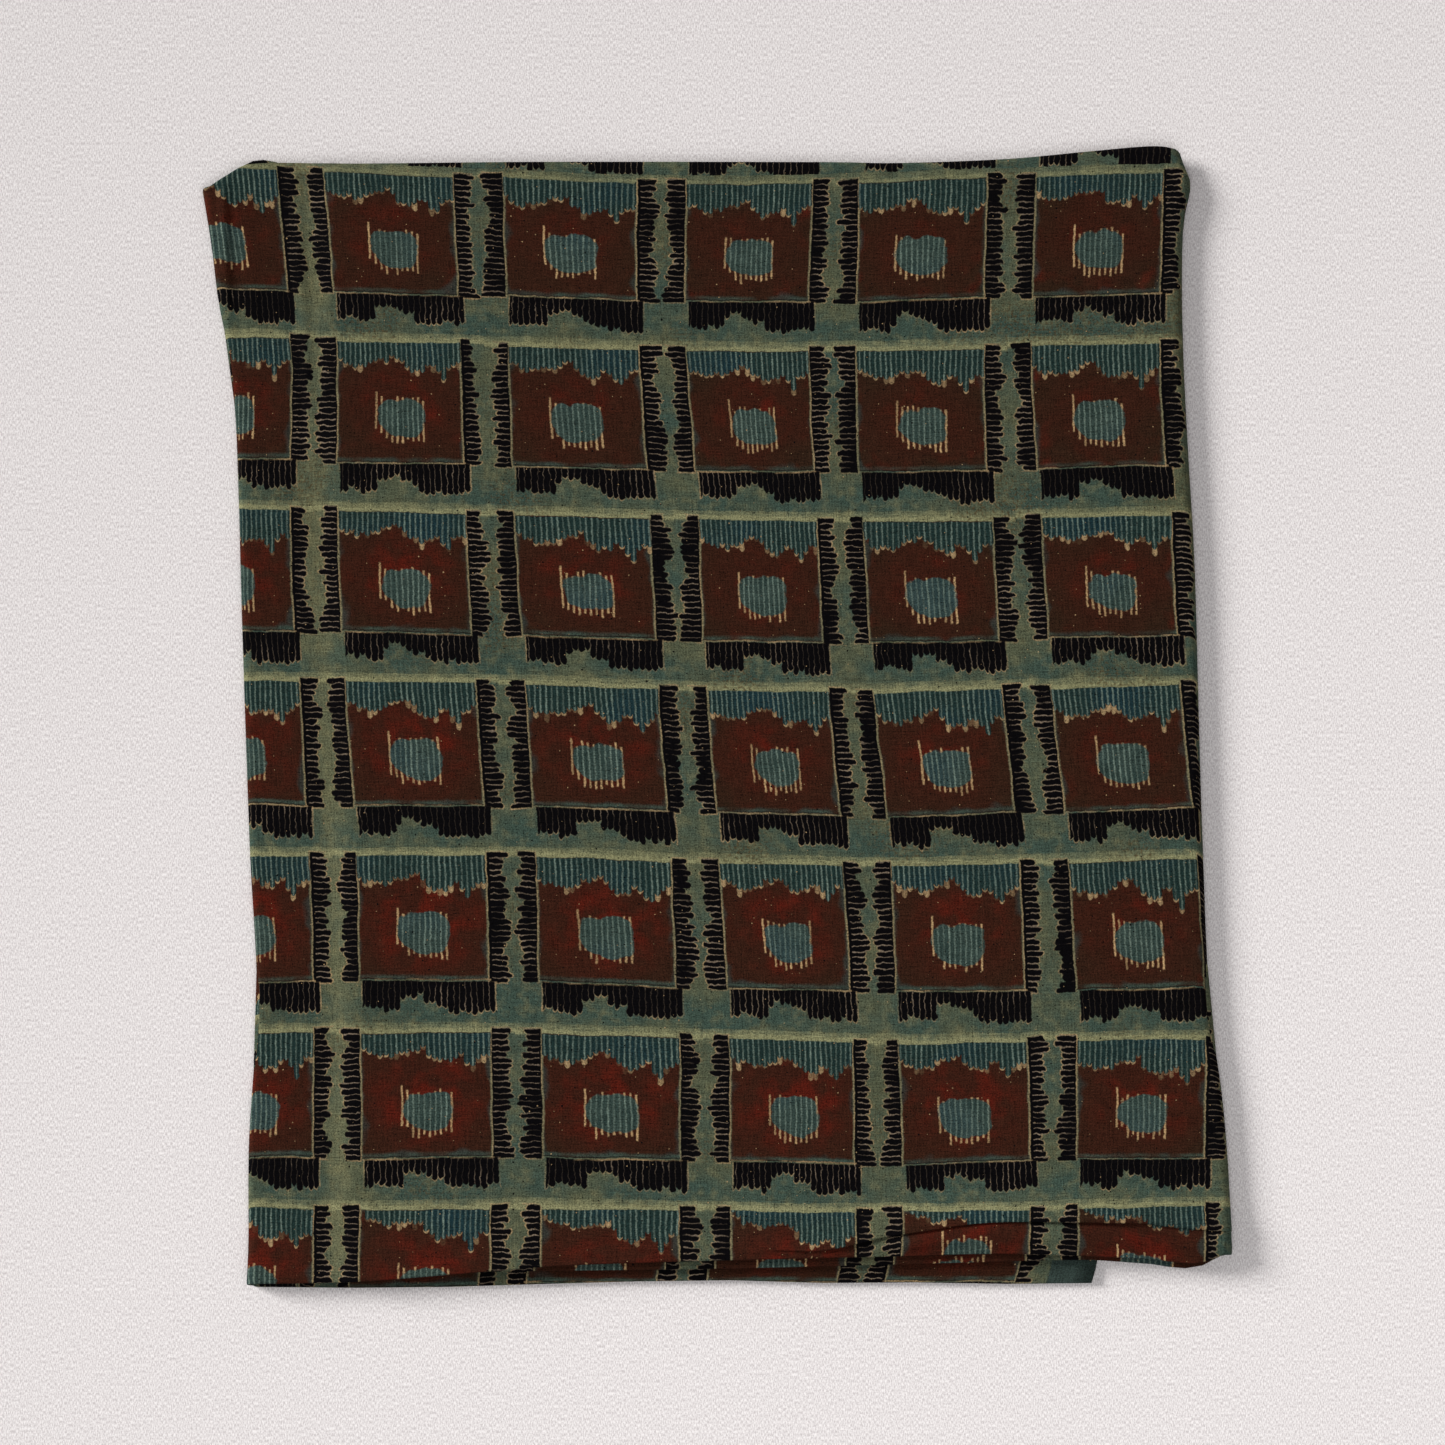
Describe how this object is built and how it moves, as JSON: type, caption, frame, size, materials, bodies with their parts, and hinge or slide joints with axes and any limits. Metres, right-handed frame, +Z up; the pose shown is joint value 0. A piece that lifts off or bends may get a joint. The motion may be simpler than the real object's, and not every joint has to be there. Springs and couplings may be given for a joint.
{
  "type": "folded cloth",
  "caption": "Length of thin block-printed cotton cloth, folded along its length and then in three across its width, into a flat, slightly uneven pile.",
  "frame": {"origin": "centre of the footprint, on the surface that the cloth lies on", "axes": "+Z up through the layers, +Y from the loose near edge to the far edge, +X to the right across the folded panels"},
  "size_m": [0.4311, 0.478, 0.0111],
  "materials": {
    "printed_cloth": "matte plain-weave cotton, block printed in dark indigo, madder brown, green and black"
  },
  "bodies": {
    "root": {"folded_cloth": "printed_cloth"}
  },
  "joints": []
}
